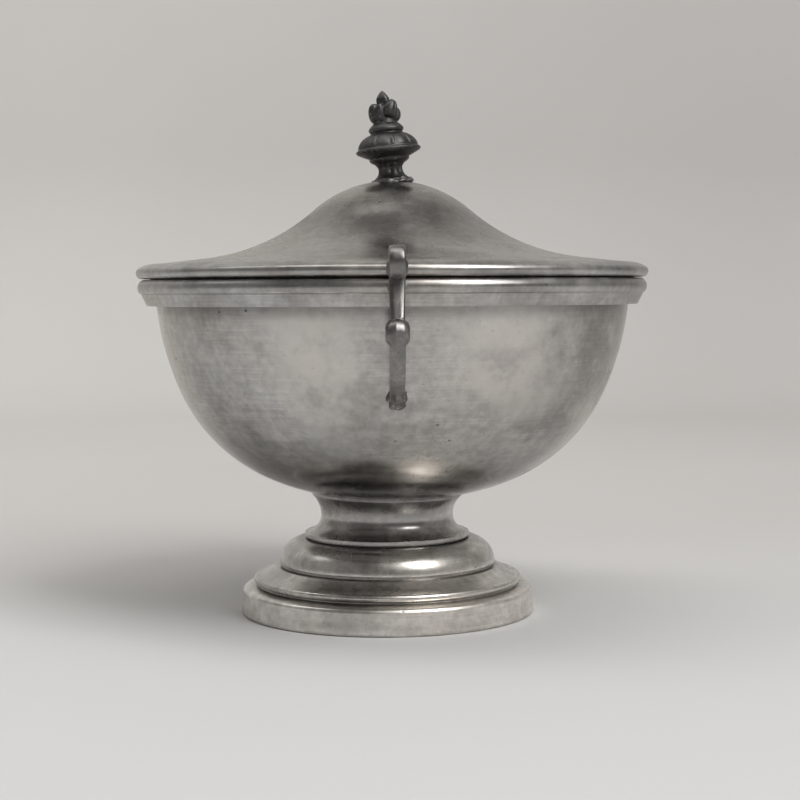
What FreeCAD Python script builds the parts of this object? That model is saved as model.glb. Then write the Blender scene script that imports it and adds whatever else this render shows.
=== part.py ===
"""Covered sugar bowl in spun and cast pewter, on a stepped pedestal foot, with two scroll handles.

Millimetres, +Z up. The origin is where the bowl's axis meets the surface that the foot rests
on, and the handles lie in the YZ plane. Each separate piece goes to its own STEP file in parts/.
"""

import FreeCAD
import Part
import os
from math import acos, asin, cos, degrees, radians, sin, tan

from FreeCAD import Vector

# Sheet and clearances
BOWL_WALL = 1.5
FOOT_WALL = 1.4
LID_WALL = 1.3
LID_PLAY = 0.6  # between the lid's locating skirt and the bowl's mouth

# Bowl: a flat bottom, three tangent arcs, then an upright land inside the rim band
BOTTOM_FLAT = 7.6
BOTTOM_HEIGHT = 31.6
BOTTOM_CURVE = 66.2
SIDE_CURVE = 47.0
UPPER_CURVE = 82.5
BOTTOM_SLOPE = 23.2  # degrees from level, where the bottom arc meets the side arc
SIDE_SLOPE = 67.4  # and where the side arc meets the upper one
BAND_BOTTOM = 84.45
RIM_TOP = 91.4

# Rim band: a tapered fascia under a rounded bead
FASCIA_FOOT_RADIUS = 66.9
FASCIA_TOP_RADIUS = 68.45
BEAD_RADIUS = 69.35
BEAD_BOTTOM = 87.7
BEAD_LEDGE_RADIUS = 68.75  # where the bead overhangs the fascia
BEAD_CREST_RADIUS = 68.0  # where the bead ends at the rim's top

# Pedestal, from the bowl down
FOOT_OFFSET = -1.8  # along X: the whole pedestal is soldered on a little off the bowl's axis
NECK_TOP_RADIUS = 20.8
NECK_EDGE_HEIGHT = 31.9
NECK_WAIST_RADIUS = 18.27
NECK_WAIST_HEIGHT = 26.75
NECK_HIGH_CURVE = 6.5
NECK_LOW_CURVE = 5.0
LIP_RADIUS = 22.7
LIP_TOP = 21.95
LIP_BOTTOM = 20.8
DOME_RADIUS = 29.8
DOME_CURVE = 6.8
DOME_BOTTOM = 13.6
STEP_EDGE_RADIUS = 30.6
STEP_TOP = 12.75
TORUS_RADIUS = 1.0  # the half round at the step's outer edge
TORUS_CENTRE = Vector(35.95, 0, 9.25)
PLINTH_TOP = 8.2
PLINTH_SHOULDER = 7.2
PLINTH_RADIUS = 40.0
PLINTH_FLARE = 0.45  # how much wider the plinth is where it stands
PLINTH_ROUNDING = 1.3
QUIRK_DEPTH = 0.8  # the shadow line between one foot ring and the next
QUIRK_HEIGHT = 0.45
FLANGE = 3.0  # how far each foot ring's flange reaches in from the ring that it carries
STEP_SAG = 0.35  # how hollow the step's slope is
TOE = 0.6  # height and width of the plinth's eased lower edge

# Lid: a crown that turns into a flare, then a straight brim inside the edge ring
CROWN_HEIGHT = 118.3
CROWN_RADIUS = 32.7
LID_SLOPE = 41.0  # degrees from level, where crown meets flare
FLARE_RADIUS = 55.0
BRIM_SLOPE = 6.5
BRIM_EDGE_RADIUS = 64.6
RING_BOTTOM = 91.7
RING_RADIUS = 69.75
NOSE_RADIUS = 1.5
SKIRT_BOTTOM = 85.1
SKIRT_WALL = 1.2
SKIRT_LEDGE_RADIUS = 66.0

# Finial, its stud, washer and nut, which all share the finial's slight lean
LEAN = -6.0  # degrees about +Y, so the tip stands towards -X
FINIAL_SINK = 1.5  # the stem is drawn down to this depth under the crown's top, then trimmed to the crown
STEM_FOOT_RADIUS = 5.3
BUD_RADIUS = 2.9
PETAL_COUNT = 5
PETAL_RADIUS = 2.1
PETAL_CENTRE = Vector(2.4, 0, 18.6)
PETAL_TURN = 11  # degrees about the finial's axis
FILLET_RADIUS = 5.9  # of the solder round the stem's foot
STUD_RADIUS = 1.5
STUD_ABOVE = 6.0
STUD_BELOW = 6.5
STUD_HOLE_RADIUS = 2.5
WASHER_RADIUS = 5.0
WASHER_THICKNESS = 1.0
WASHER_PLAY = 0.2
NUT_ACROSS_FLATS = 5.5
NUT_THICKNESS = 2.4

# Handle, drawn with its distance from the bowl's axis along X, then turned into place
HANDLE_WIDTH = 3.6
STRUT_WIDTH = 3.0
HANDLE_THICKNESS = 2.4
VOLUTE_CENTRE = Vector(76.6, 0, 94.35)
VOLUTE_RADIUS = 4.6
VOLUTE_BOSS = (2.9, 4.6)  # radius and width of the raised eye
KNUCKLE_CENTRE = Vector(77.2, 0, 78.8)
KNUCKLE_RADIUS = 3.4
KNUCKLE_BOSS = (3.0, 5.6)
VOLUTE_EYE_DROP = 0.9  # from the volute's centre to its raised eye
STRUT_CURVE = 24.0
LOWER_CURVE = 16.3
FOOT_REACH = 57.0  # how near to the axis the lower strip runs before the bowl's surface trims it
FOOT_SOLDER = (2.5, Vector(58.4, 0, 62.1))  # radius and centre
TANG_SOLDER_RADIUS = 2.1
TANG_BOTTOM = 87.4
TANG_TOP = 90.2

AXIS = Vector(0, 0, 1)
ORIGIN = Vector(0, 0, 0)


# ---------- outlines and solids ----------


def at(radius, height):
    """A point of a turned outline."""
    return Vector(radius, 0, height)


def polar(centre, radius, angle):
    """The point at that angle from +X towards +Z, in degrees, on a circle in the XZ plane."""
    return centre + Vector(radius * cos(radians(angle)), 0, radius * sin(radians(angle)))


def arc(centre, radius, first, last):
    """Outline steps for an arc from one angle to another: its start, then a pair of middle and end."""
    middle = (first + last) / 2
    return [polar(centre, radius, first), (polar(centre, radius, middle), polar(centre, radius, last))]


def face(steps):
    """A planar face. Each step is a corner, or a pair of a point on an arc and the corner it ends at."""
    edges = []
    here = steps[0]
    for step in [*steps[1:], steps[0]]:
        end = step[1] if isinstance(step, tuple) else step
        if here.distanceToPoint(end) > 1e-6:
            if isinstance(step, tuple):
                edges.append(Part.Arc(here, step[0], end).toShape())
            else:
                edges.append(Part.LineSegment(here, end).toShape())
        here = end
    return Part.Face(Part.Wire(edges))


def turned(steps):
    """The solid that the outline makes when it turns once about the Z axis."""
    return face(steps).revolve(ORIGIN, AXIS, 360)


def slab(steps, width):
    """The outline as a plate of that width, centred on the XZ plane."""
    solid = face(steps).extrude(Vector(0, width, 0))
    solid.translate(Vector(0, -width / 2, 0))
    return solid


def plate(inner, outer, bottom, top):
    """Outline steps of an upright rectangle."""
    return [at(inner, bottom), at(outer, bottom), at(outer, top), at(inner, top)]


def strip(centre, curve, first, last, thickness, width):
    """A bent strip: thickness is measured across the curve, width across the XZ plane."""
    outside = arc(centre, curve + thickness / 2, first, last)
    inside = arc(centre, curve - thickness / 2, last, first)
    return slab(outside + inside, width)


def disc(centre, radius, width):
    """A round plate on an axis along Y."""
    return Part.makeCylinder(radius, width, centre - Vector(0, width / 2, 0), Vector(0, 1, 0))


def turned_copy(shape, turn):
    """A copy of the shape, turned about the Z axis."""
    placed = shape.copy()
    placed.rotate(ORIGIN, AXIS, turn)
    return placed


def moved(shape, along_x):
    """A copy of the shape, moved along X."""
    placed = shape.copy()
    placed.translate(Vector(along_x, 0, 0))
    return placed


# ---------- bowl ----------


def bowl_surface(inset=0.0):
    """Steps of the bowl's outer surface from the axis to the land, or of a surface inset from it."""
    bottom = at(BOTTOM_FLAT, BOTTOM_HEIGHT + BOTTOM_CURVE)
    side = polar(bottom, BOTTOM_CURVE - SIDE_CURVE, BOTTOM_SLOPE - 90)
    upper = polar(side, SIDE_CURVE - UPPER_CURVE, SIDE_SLOPE - 90)
    land_slope = degrees(acos((upper.z - BAND_BOTTOM) / UPPER_CURVE))
    return [
        at(0, BOTTOM_HEIGHT + inset),
        *arc(bottom, BOTTOM_CURVE - inset, -90, BOTTOM_SLOPE - 90),
        *arc(side, SIDE_CURVE - inset, BOTTOM_SLOPE - 90, SIDE_SLOPE - 90),
        *arc(upper, UPPER_CURVE - inset, SIDE_SLOPE - 90, land_slope - 90),
    ]


def land_radius(inset=0.0):
    """Radius of the upright land above the bowl's upper arc."""
    return bowl_surface(inset)[-1][1].x


def bowl_envelope():
    """The bowl as if it were solid, for trimming what is fixed to its outside."""
    return turned([*bowl_surface(), at(land_radius(), RIM_TOP), at(0, RIM_TOP)])


def bowl_shell():
    """Spun bowl: the envelope less its inside."""
    mouth = land_radius(BOWL_WALL)
    inside = turned([*bowl_surface(BOWL_WALL), at(mouth, RIM_TOP + 1), at(0, RIM_TOP + 1)])
    return bowl_envelope().cut(inside)


def rim_band():
    """Moulded band soldered round the mouth, seen as a bead over a tapered fascia."""
    inner = land_radius()
    return turned(
        [
            at(inner, BAND_BOTTOM),
            at(FASCIA_FOOT_RADIUS, BAND_BOTTOM),
            at(FASCIA_TOP_RADIUS, BEAD_BOTTOM),
            at(BEAD_LEDGE_RADIUS, BEAD_BOTTOM),
            at(BEAD_LEDGE_RADIUS + 0.25, BEAD_BOTTOM + 0.3),
            (at(BEAD_RADIUS, BEAD_BOTTOM + 1.6), at(BEAD_CREST_RADIUS, RIM_TOP)),
            at(inner, RIM_TOP),
        ]
    )


# ---------- pedestal foot ----------


def pedestal_neck():
    """Spun neck with a lip at its foot and a thin edge at its top, which meets the bowl's underside."""
    low = at(NECK_WAIST_RADIUS + NECK_LOW_CURVE, NECK_WAIST_HEIGHT)
    high = at(NECK_WAIST_RADIUS + NECK_HIGH_CURVE, NECK_WAIST_HEIGHT)
    low_angle = 180 + degrees(asin((NECK_WAIST_HEIGHT - LIP_TOP) / NECK_LOW_CURVE))
    inside_curve = NECK_LOW_CURVE + FOOT_WALL
    inside_angle = 180 + degrees(asin((NECK_WAIST_HEIGHT - LIP_BOTTOM) / inside_curve))
    high_angle = 180 - degrees(asin((NECK_EDGE_HEIGHT - NECK_WAIST_HEIGHT) / NECK_HIGH_CURVE))
    low_outside = arc(low, NECK_LOW_CURVE, low_angle, 180)
    low_inside = arc(low, inside_curve, 180, inside_angle)
    high_outside = arc(high, NECK_HIGH_CURVE, 180, high_angle)
    high_inside = arc(high, NECK_HIGH_CURVE + FOOT_WALL, high_angle, 180)
    above = NECK_EDGE_HEIGHT + 3
    tube = turned(
        [
            at(LIP_RADIUS, LIP_BOTTOM),
            at(LIP_RADIUS, LIP_TOP),
            *low_outside,
            *high_outside,
            at(NECK_TOP_RADIUS, NECK_EDGE_HEIGHT),
            at(NECK_TOP_RADIUS, above),
            at(high_inside[0].x, above),
            *high_inside,
            *low_inside,
        ]
    )
    return tube.cut(moved(bowl_envelope(), -FOOT_OFFSET))


def foot_dome():
    """Spun quarter-round ring that carries the neck's lip on a raised flange."""
    centre = at(DOME_RADIUS - DOME_CURVE, DOME_BOTTOM)
    seat = LIP_RADIUS - QUIRK_DEPTH
    bore = seat - FLANGE
    return turned(
        [
            at(bore, LIP_BOTTOM - FOOT_WALL),
            at(bore, LIP_BOTTOM),
            at(seat, LIP_BOTTOM),
            at(seat, LIP_BOTTOM - QUIRK_HEIGHT),
            *arc(centre, DOME_CURVE, 90, 0),
            *arc(centre, DOME_CURVE - FOOT_WALL, 0, 90),
            at(centre.x, LIP_BOTTOM - FOOT_WALL),
        ]
    )


def foot_step():
    """Spun ring with a gently hollow slope that ends in a half round."""
    seat = DOME_RADIUS - QUIRK_DEPTH
    bore = seat - FLANGE
    slope_end = polar(TORUS_CENTRE, TORUS_RADIUS, 125)
    sag = at((STEP_EDGE_RADIUS + slope_end.x) / 2, (STEP_TOP + slope_end.z) / 2 - STEP_SAG)
    inside_sag = sag + Vector(-0.8, 0, -FOOT_WALL)
    return turned(
        [
            at(bore, DOME_BOTTOM - FOOT_WALL),
            at(bore, DOME_BOTTOM),
            at(seat, DOME_BOTTOM),
            at(seat, STEP_TOP),
            at(STEP_EDGE_RADIUS, STEP_TOP),
            (sag, slope_end),
            *arc(TORUS_CENTRE, TORUS_RADIUS, 125, -60),
            at(TORUS_CENTRE.x, PLINTH_TOP),
            at(TORUS_CENTRE.x - FLANGE, PLINTH_TOP),
            (inside_sag, at(STEP_EDGE_RADIUS - 0.6, STEP_TOP - FOOT_WALL)),
        ]
    )


def foot_plinth():
    """Spun base ring: it stands on its lower edge, and its top flange carries the step."""
    seat = TORUS_CENTRE.x
    bore = seat - FLANGE
    inner = PLINTH_RADIUS - FOOT_WALL
    toe = PLINTH_RADIUS + PLINTH_FLARE
    under = PLINTH_TOP - FOOT_WALL
    rounding = at(PLINTH_RADIUS - PLINTH_ROUNDING, PLINTH_SHOULDER - PLINTH_ROUNDING)
    return turned(
        [
            at(bore, under),
            at(bore, PLINTH_TOP),
            at(seat, PLINTH_TOP),
            at(seat, PLINTH_TOP - QUIRK_HEIGHT),
            *arc(rounding, PLINTH_ROUNDING, 75, 0),
            at(toe, TOE),
            *arc(at(toe - TOE, TOE), TOE, 0, -90),
            at(inner - TOE / 2, 0),
            at(inner, TOE),
            at(inner, under - 1.6),
            at(inner - 1.0, under - 0.5),
            at(seat, under),
        ]
    )


# ---------- handles ----------


def scroll_handle():
    """One cast handle, with its distance from the bowl's axis along +X."""
    strut_start = VOLUTE_CENTRE.x - VOLUTE_RADIUS + HANDLE_THICKNESS / 2
    strut_centre = at(strut_start + STRUT_CURVE, VOLUTE_CENTRE.z)
    strut_end = 180 + degrees(acos(1 - (KNUCKLE_CENTRE.x - 0.4 - strut_start) / STRUT_CURVE))
    lower_outside = KNUCKLE_CENTRE.x + KNUCKLE_RADIUS - HANDLE_THICKNESS / 2
    lower_centre = at(lower_outside - LOWER_CURVE, KNUCKLE_CENTRE.z)
    lower_end = polar(lower_centre, LOWER_CURVE, -90)
    half = HANDLE_THICKNESS / 2
    lower_run = plate(FOOT_REACH, lower_end.x, lower_end.z - half, lower_end.z + half)
    tang = plate(land_radius() + 1, strut_start + 0.5, TANG_BOTTOM, TANG_TOP)
    pieces = [
        strip(strut_centre, STRUT_CURVE, 180, strut_end, HANDLE_THICKNESS, STRUT_WIDTH),
        disc(KNUCKLE_CENTRE, KNUCKLE_RADIUS, HANDLE_WIDTH),
        disc(KNUCKLE_CENTRE, *KNUCKLE_BOSS),
        disc(VOLUTE_CENTRE - Vector(0, 0, VOLUTE_EYE_DROP), *VOLUTE_BOSS),
        strip(lower_centre, LOWER_CURVE, 0, -90, HANDLE_THICKNESS, HANDLE_WIDTH),
        slab(lower_run, HANDLE_WIDTH),
        slab(tang, STRUT_WIDTH),
    ]
    whole = disc(VOLUTE_CENTRE, VOLUTE_RADIUS, HANDLE_WIDTH).fuse(pieces)
    return whole.cut([bowl_envelope(), rim_band()]).removeSplitter()


def handle_solder(handle):
    """The solder at the handle's two joints: under its foot on the bowl, and round its tang."""
    foot = Part.makeSphere(*FOOT_SOLDER)
    tang = Part.makeSphere(TANG_SOLDER_RADIUS, at(BEAD_RADIUS, (TANG_BOTTOM + TANG_TOP) / 2))
    blobs = [blob.cut([bowl_envelope(), rim_band(), handle]) for blob in (foot, tang)]
    return Part.makeCompound([solid for blob in blobs for solid in blob.Solids])


# ---------- lid ----------


def crown_centre():
    """Centre of the lid's crown."""
    return at(0, CROWN_HEIGHT - CROWN_RADIUS)


def flare_centre():
    """Centre of the lid's flare, tangent to the crown on its other side."""
    return polar(crown_centre(), CROWN_RADIUS + FLARE_RADIUS, 90 - LID_SLOPE)


def brim_height(radius, depth=0.0):
    """Height of the straight brim's top at that radius, or of the surface that lies depth under it."""
    start = polar(flare_centre(), FLARE_RADIUS, 270 - BRIM_SLOPE)
    fall = (radius - start.x) * tan(radians(BRIM_SLOPE))
    return start.z - fall - depth / cos(radians(BRIM_SLOPE))


def lid_shell():
    """Spun lid with a drilled crown."""
    outside = [
        *arc(crown_centre(), CROWN_RADIUS, 90, 90 - LID_SLOPE),
        *arc(flare_centre(), FLARE_RADIUS, 270 - LID_SLOPE, 270 - BRIM_SLOPE),
    ]
    inside = [
        *arc(flare_centre(), FLARE_RADIUS + LID_WALL, 270 - BRIM_SLOPE, 270 - LID_SLOPE),
        *arc(crown_centre(), CROWN_RADIUS - LID_WALL, 90 - LID_SLOPE, 90),
    ]
    edge = [
        at(BRIM_EDGE_RADIUS, brim_height(BRIM_EDGE_RADIUS)),
        at(BRIM_EDGE_RADIUS, brim_height(BRIM_EDGE_RADIUS, LID_WALL)),
    ]
    hole = Part.makeCylinder(STUD_HOLE_RADIUS, 10, at(0, CROWN_HEIGHT - 5))
    return turned(outside + edge + inside).cut(hole)


def skirt_radius():
    """Outer radius of the locating skirt, which drops into the bowl's mouth."""
    return land_radius(BOWL_WALL) - LID_PLAY


def lid_edge_ring():
    """Half-round ring soldered round the lid, lapped under the brim's edge."""
    inner = skirt_radius()
    nose = at(RING_RADIUS - NOSE_RADIUS, RING_BOTTOM + NOSE_RADIUS)
    crest = at(BRIM_EDGE_RADIUS + 0.35, brim_height(BRIM_EDGE_RADIUS) + 0.05)
    nose_top = polar(nose, NOSE_RADIUS, 65)
    shoulder = at((crest.x + nose_top.x) / 2 + 0.1, (crest.z + nose_top.z) / 2 + 0.25)
    return turned(
        [
            at(inner, RING_BOTTOM),
            *arc(nose, NOSE_RADIUS, -90, 65),
            (shoulder, crest),
            at(BRIM_EDGE_RADIUS, crest.z - 0.3),
            at(BRIM_EDGE_RADIUS, brim_height(BRIM_EDGE_RADIUS, LID_WALL)),
            at(inner, brim_height(inner, LID_WALL)),
        ]
    )


def lid_bezel():
    """Locating skirt with a ledge: the lid stands on the ledge, which leaves a thin shadow gap outside."""
    outer = skirt_radius()
    inner = outer - SKIRT_WALL
    return turned(
        [
            at(inner, SKIRT_BOTTOM),
            at(outer, SKIRT_BOTTOM),
            at(outer, RIM_TOP),
            at(SKIRT_LEDGE_RADIUS, RIM_TOP),
            at(SKIRT_LEDGE_RADIUS, RING_BOTTOM),
            at(outer, RING_BOTTOM),
            at(outer, brim_height(outer, LID_WALL)),
            at(inner, brim_height(inner, LID_WALL)),
        ]
    )


# ---------- finial ----------


def lean(shape):
    """Moves a piece drawn upright above the origin to the crown's top, with the finial's lean."""
    placed = shape.copy()
    placed.rotate(ORIGIN, Vector(0, 1, 0), LEAN)
    placed.translate(Vector(0, 0, CROWN_HEIGHT))
    return placed


def crown_ball(radius):
    """A ball about the crown's centre, poles to the sides, for fitting pieces to the crown."""
    return Part.makeSphere(radius, crown_centre(), Vector(0, 1, 0))


def finial():
    """Cast finial: a waisted stem, a cushion over a thin collar, and a petalled bud."""
    stem = turned(
        [
            at(0, -FINIAL_SINK),
            at(STEM_FOOT_RADIUS, -FINIAL_SINK),
            at(STEM_FOOT_RADIUS, 0.35),
            (at(3.8, 1.35), at(3.45, 2.6)),
            (at(3.75, 3.9), at(5.35, 5.35)),
            at(5.5, 6.1),
            at(8.65, 7.85),
            (at(8.95, 8.4), at(8.6, 9.0)),
            at(7.7, 9.3),
            (at(6.6, 11.4), at(4.35, 13.0)),
            (at(4.85, 14.0), at(4.2, 15.0)),
            (at(3.2, 15.8), at(BUD_RADIUS, 16.9)),
            at(BUD_RADIUS, 20.4),
            (at(2.35, 21.9), at(1.2, 23.0)),
            at(0, 24.65),
        ]
    )
    petal = Part.makeSphere(PETAL_RADIUS, PETAL_CENTRE)
    petals = [turned_copy(petal, 360 * n / PETAL_COUNT + PETAL_TURN) for n in range(PETAL_COUNT)]
    socket = Part.makeCylinder(STUD_RADIUS, STUD_ABOVE + 2 * FINIAL_SINK, at(0, -2 * FINIAL_SINK))
    whole = lean(stem.fuse(petals).cut(socket))
    return whole.cut(crown_ball(CROWN_RADIUS))


def finial_stud():
    """Threaded stud, screwed into the finial and through the crown."""
    return lean(Part.makeCylinder(STUD_RADIUS, STUD_ABOVE + STUD_BELOW, at(0, -STUD_BELOW)))


def finial_washer():
    """Washer dished to the inside of the crown."""
    bottom = -LID_WALL - 2 * WASHER_THICKNESS
    blank = Part.makeCylinder(WASHER_RADIUS, 2 * WASHER_THICKNESS, at(0, bottom))
    bore = Part.makeCylinder(STUD_RADIUS + WASHER_PLAY, 2 * WASHER_THICKNESS, at(0, bottom))
    return lean(blank.cut(bore)).common(crown_ball(CROWN_RADIUS - LID_WALL))


def finial_nut():
    """Hexagon nut on the stud, hard against the washer."""
    bottom = -LID_WALL - 2 * WASHER_THICKNESS - NUT_THICKNESS
    reach = NUT_ACROSS_FLATS / 2 / cos(radians(30))
    corners = [Vector(reach * cos(radians(a)), reach * sin(radians(a)), 0) for a in range(0, 360, 60)]
    hexagon = Part.Face(Part.makePolygon([*corners, corners[0]]))
    block = hexagon.extrude(Vector(0, 0, NUT_THICKNESS))
    block.translate(at(0, bottom))
    return lean(block.cut(Part.makeCylinder(STUD_RADIUS, NUT_THICKNESS, at(0, bottom))))


def finial_solder():
    """Fillet of solder round the finial's base."""
    fillet = Part.makeCylinder(FILLET_RADIUS, FINIAL_SINK + 0.1, at(0, -FINIAL_SINK))
    core = Part.makeCylinder(STEM_FOOT_RADIUS - 0.5, FINIAL_SINK + 0.1, at(0, -FINIAL_SINK))
    return lean(fillet.cut(core)).cut([crown_ball(CROWN_RADIUS), finial()])


# ---------- every piece ----------


def pieces():
    """Node name and shape of every piece."""
    handle = scroll_handle()
    solder = handle_solder(handle)
    return {
        "bowl_shell": bowl_shell(),
        "rim_band": rim_band(),
        "pedestal_neck": moved(pedestal_neck(), FOOT_OFFSET),
        "foot_dome": moved(foot_dome(), FOOT_OFFSET),
        "foot_step": moved(foot_step(), FOOT_OFFSET),
        "foot_plinth": moved(foot_plinth(), FOOT_OFFSET),
        "front_handle": turned_copy(handle, -90),
        "back_handle": turned_copy(handle, 90),
        "front_handle_solder": turned_copy(solder, -90),
        "back_handle_solder": turned_copy(solder, 90),
        "lid_shell": lid_shell(),
        "lid_edge_ring": lid_edge_ring(),
        "lid_bezel": lid_bezel(),
        "finial": finial(),
        "finial_solder": finial_solder(),
        "finial_stud": finial_stud(),
        "finial_washer": finial_washer(),
        "finial_nut": finial_nut(),
    }


def main():
    os.makedirs("parts", exist_ok=True)
    for name, shape in pieces().items():
        shape.exportStep(f"parts/{name}.step")
        print(f"{name}: {len(shape.Solids)} solid, valid {shape.isValid()}, {shape.Volume:.1f} mm3")


main()
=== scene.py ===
"""Looks for a covered sugar bowl in spun and cast pewter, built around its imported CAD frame.

Metres, +Z up. The spun pieces are turned again from the CAD nodes' own outlines, with eased edges
and a little hand unevenness. The handles, finial and solder are modelled as castings.
"""

from math import acos, ceil, cos, degrees, exp, hypot, pi, radians, sin, tau

import bmesh
import bpy
from mathutils import Matrix, Vector, noise


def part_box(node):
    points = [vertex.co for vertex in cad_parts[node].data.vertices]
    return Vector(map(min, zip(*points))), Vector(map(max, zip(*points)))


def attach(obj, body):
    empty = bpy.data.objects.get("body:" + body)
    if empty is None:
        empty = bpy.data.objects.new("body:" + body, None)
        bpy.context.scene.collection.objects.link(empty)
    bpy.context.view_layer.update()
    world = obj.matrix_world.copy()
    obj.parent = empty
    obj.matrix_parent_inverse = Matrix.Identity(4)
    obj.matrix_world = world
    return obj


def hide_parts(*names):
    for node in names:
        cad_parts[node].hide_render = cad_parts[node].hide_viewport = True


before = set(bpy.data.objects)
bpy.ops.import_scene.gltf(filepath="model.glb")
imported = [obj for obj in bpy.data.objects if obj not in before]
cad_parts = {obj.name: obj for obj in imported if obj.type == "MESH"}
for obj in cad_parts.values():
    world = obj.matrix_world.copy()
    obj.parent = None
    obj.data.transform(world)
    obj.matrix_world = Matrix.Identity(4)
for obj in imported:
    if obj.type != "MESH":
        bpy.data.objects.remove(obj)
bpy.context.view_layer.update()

MM = 0.001

# Places read from the frame
FOOT_AXIS = (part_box("foot_plinth")[0].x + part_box("foot_plinth")[1].x) / 2
CROWN_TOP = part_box("lid_shell")[1].z + 0.096 * MM  # the stud's hole takes the very top away
HANDLE_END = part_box("back_handle")[1] / MM
FINIAL_LEAN = radians(-6.0)

# Spun pieces
TURNS = 240  # quads round one turn
STEP = 1.2 * MM  # longest quad along an outline
CORNER = radians(20)  # a sharper turn in an outline is an edge, and gets eased
UNEVEN = 0.12 * MM
UNEVEN_SCALE = 24.0
EASE = 0.2 * MM  # how far from a corner its rounding starts
NECK_EASE = 0.08 * MM


# ---------- outlines ----------


def seam(node, axis=0.0):
    """A CAD node's outline on the +X side of its axis, and whether it is closed.

    The outline is a list of (radius, height) points.
    """
    mesh = bmesh.new()
    mesh.from_mesh(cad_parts[node].data)
    bmesh.ops.remove_doubles(mesh, verts=mesh.verts, dist=0.002 * MM)
    near = 0.004 * MM

    def on_seam(vert):
        return abs(vert.co.y) < near and vert.co.x > axis - near

    links = {}
    for edge in mesh.edges:
        a, b = edge.verts
        if on_seam(a) and on_seam(b):
            links.setdefault(a, []).append(b)
            links.setdefault(b, []).append(a)
    ends = [v for v, beside in links.items() if len(beside) == 1]
    first = min(ends or links, key=lambda v: (v.co.z, v.co.x))
    chain, last = [first], None
    while True:
        ahead = [v for v in links[chain[-1]] if v is not last]
        if not ahead or ahead[0] is first:
            break
        last = chain[-1]
        chain.append(ahead[0])
    points = [Vector((v.co.x - axis, v.co.z)) for v in chain]
    mesh.free()
    if ends:  # a flat face in the middle has no corner on the axis
        points = [Vector((0, points[0].y)), *points, Vector((0, points[-1].y))]
    return points, not ends


def circle_tangent(before, here, after):
    """Direction at the middle one of three points, along the circle through them."""
    back, ahead = here - before, after - here
    return (back.normalized() * ahead.length + ahead.normalized() * back.length).normalized()


def eased(points, closed, ease):
    """The outline with its curves filled in and its corners rounded."""
    count = len(points)

    def at(i):
        return points[i % count] if closed else points[max(0, min(count - 1, i))]

    def turn(i):
        if not closed and i in (0, count - 1):
            return pi
        return (at(i) - at(i - 1)).angle(at(i + 1) - at(i))

    corner = [turn(i) > CORNER for i in range(count)]
    tangent = [None if corner[i] else circle_tangent(at(i - 1), at(i), at(i + 1)) for i in range(count)]
    made = []
    spans = count if closed else count - 1
    for i in range(spans):
        j = (i + 1) % count
        chord = points[j] - points[i]
        length, along = chord.length, chord.normalized()
        start, end = tangent[i], tangent[j]
        if start is None and end is None:
            start = end = along
        elif start is None:
            start = 2 * end.dot(along) * along - end
        elif end is None:
            end = 2 * start.dot(along) * along - start
        cut_start = min(ease, 0.4 * length) / length if corner[i] and turn(i) < pi else 0.0
        cut_end = min(ease, 0.4 * length) / length if corner[j] and turn(j) < pi else 0.0
        steps = max(1, ceil(length / STEP), ceil(start.angle(end) / radians(6)))
        for k in range(steps + 1):
            t = cut_start + (1 - cut_start - cut_end) * k / steps
            a = 2 * t**3 - 3 * t**2 + 1
            b = t**3 - 2 * t**2 + t
            c = -2 * t**3 + 3 * t**2
            d = t**3 - t**2
            p = a * points[i] + b * length * start + c * points[j] + d * length * end
            if not made or (p - made[-1]).length > 0.002 * MM:
                made.append(p)
        if corner[j] and turn(j) < pi:
            after = at(j + 1) - points[j]
            leave = points[j] + after.normalized() * min(ease, 0.4 * after.length)
            enter = made[-1]
            for t in (0.25, 0.5, 0.75):
                made.append((1 - t) ** 2 * enter + 2 * t * (1 - t) * points[j] + t * t * leave)
    if closed and (made[0] - made[-1]).length < 0.002 * MM:
        made.pop()
    lowest = min(p.y for p in points)
    return [Vector((p.x, max(p.y, lowest))) for p in made]


# ---------- meshes ----------


def make_object(name, mesh):
    """A bmesh as a smooth-shaded object."""
    bmesh.ops.recalc_face_normals(mesh, faces=mesh.faces)
    data = bpy.data.meshes.new(name)
    mesh.to_mesh(data)
    mesh.free()
    for polygon in data.polygons:
        polygon.use_smooth = True
    piece = bpy.data.objects.new(name, data)
    bpy.context.scene.collection.objects.link(piece)
    return piece


def spin(outline, closed, turns=TURNS, shape=None):
    """A bmesh of the outline turned about Z. shape(radius, height, angle) may move each point."""
    mesh = bmesh.new()
    rows = []
    for point in outline:
        if abs(point.x) < 0.002 * MM:
            rows.append([mesh.verts.new((0, 0, point.y))])
            continue
        row = []
        for k in range(turns):
            angle = tau * k / turns
            radius, height = shape(point.x, point.y, angle) if shape else (point.x, point.y)
            row.append(mesh.verts.new((radius * cos(angle), radius * sin(angle), height)))
        rows.append(row)
    pairs = list(zip(rows, rows[1:])) + ([(rows[-1], rows[0])] if closed else [])
    for low, high in pairs:
        for k in range(turns):
            n = (k + 1) % turns
            corners = [low[k % len(low)], low[n % len(low)], high[n % len(high)], high[k % len(high)]]
            unique = [v for i, v in enumerate(corners) if v not in corners[:i]]
            if len(unique) > 2:
                mesh.faces.new(unique)
    return mesh


def handmade(mesh, axis=0.0):
    """Moves every point a little towards the axis, by a slow noise that neighbouring pieces share."""
    for vert in mesh.verts:
        place = Vector((vert.co.x + axis, vert.co.y, vert.co.z))
        inward = UNEVEN * (0.5 + 0.5 * noise.noise(place * UNEVEN_SCALE))
        radius = hypot(vert.co.x, vert.co.y)
        if radius > 2 * UNEVEN:
            share = min(1.0, radius / (10 * MM))
            vert.co.x *= 1 - share * inward / radius
            vert.co.y *= 1 - share * inward / radius


def settle(piece, body, slot, material, *nodes):
    """Gives a finished piece its material, its body, and the CAD nodes that it stands for."""
    piece.data.materials.clear()
    piece.data.materials.append(material)
    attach(piece, body)
    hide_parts(*nodes)
    return piece


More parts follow.
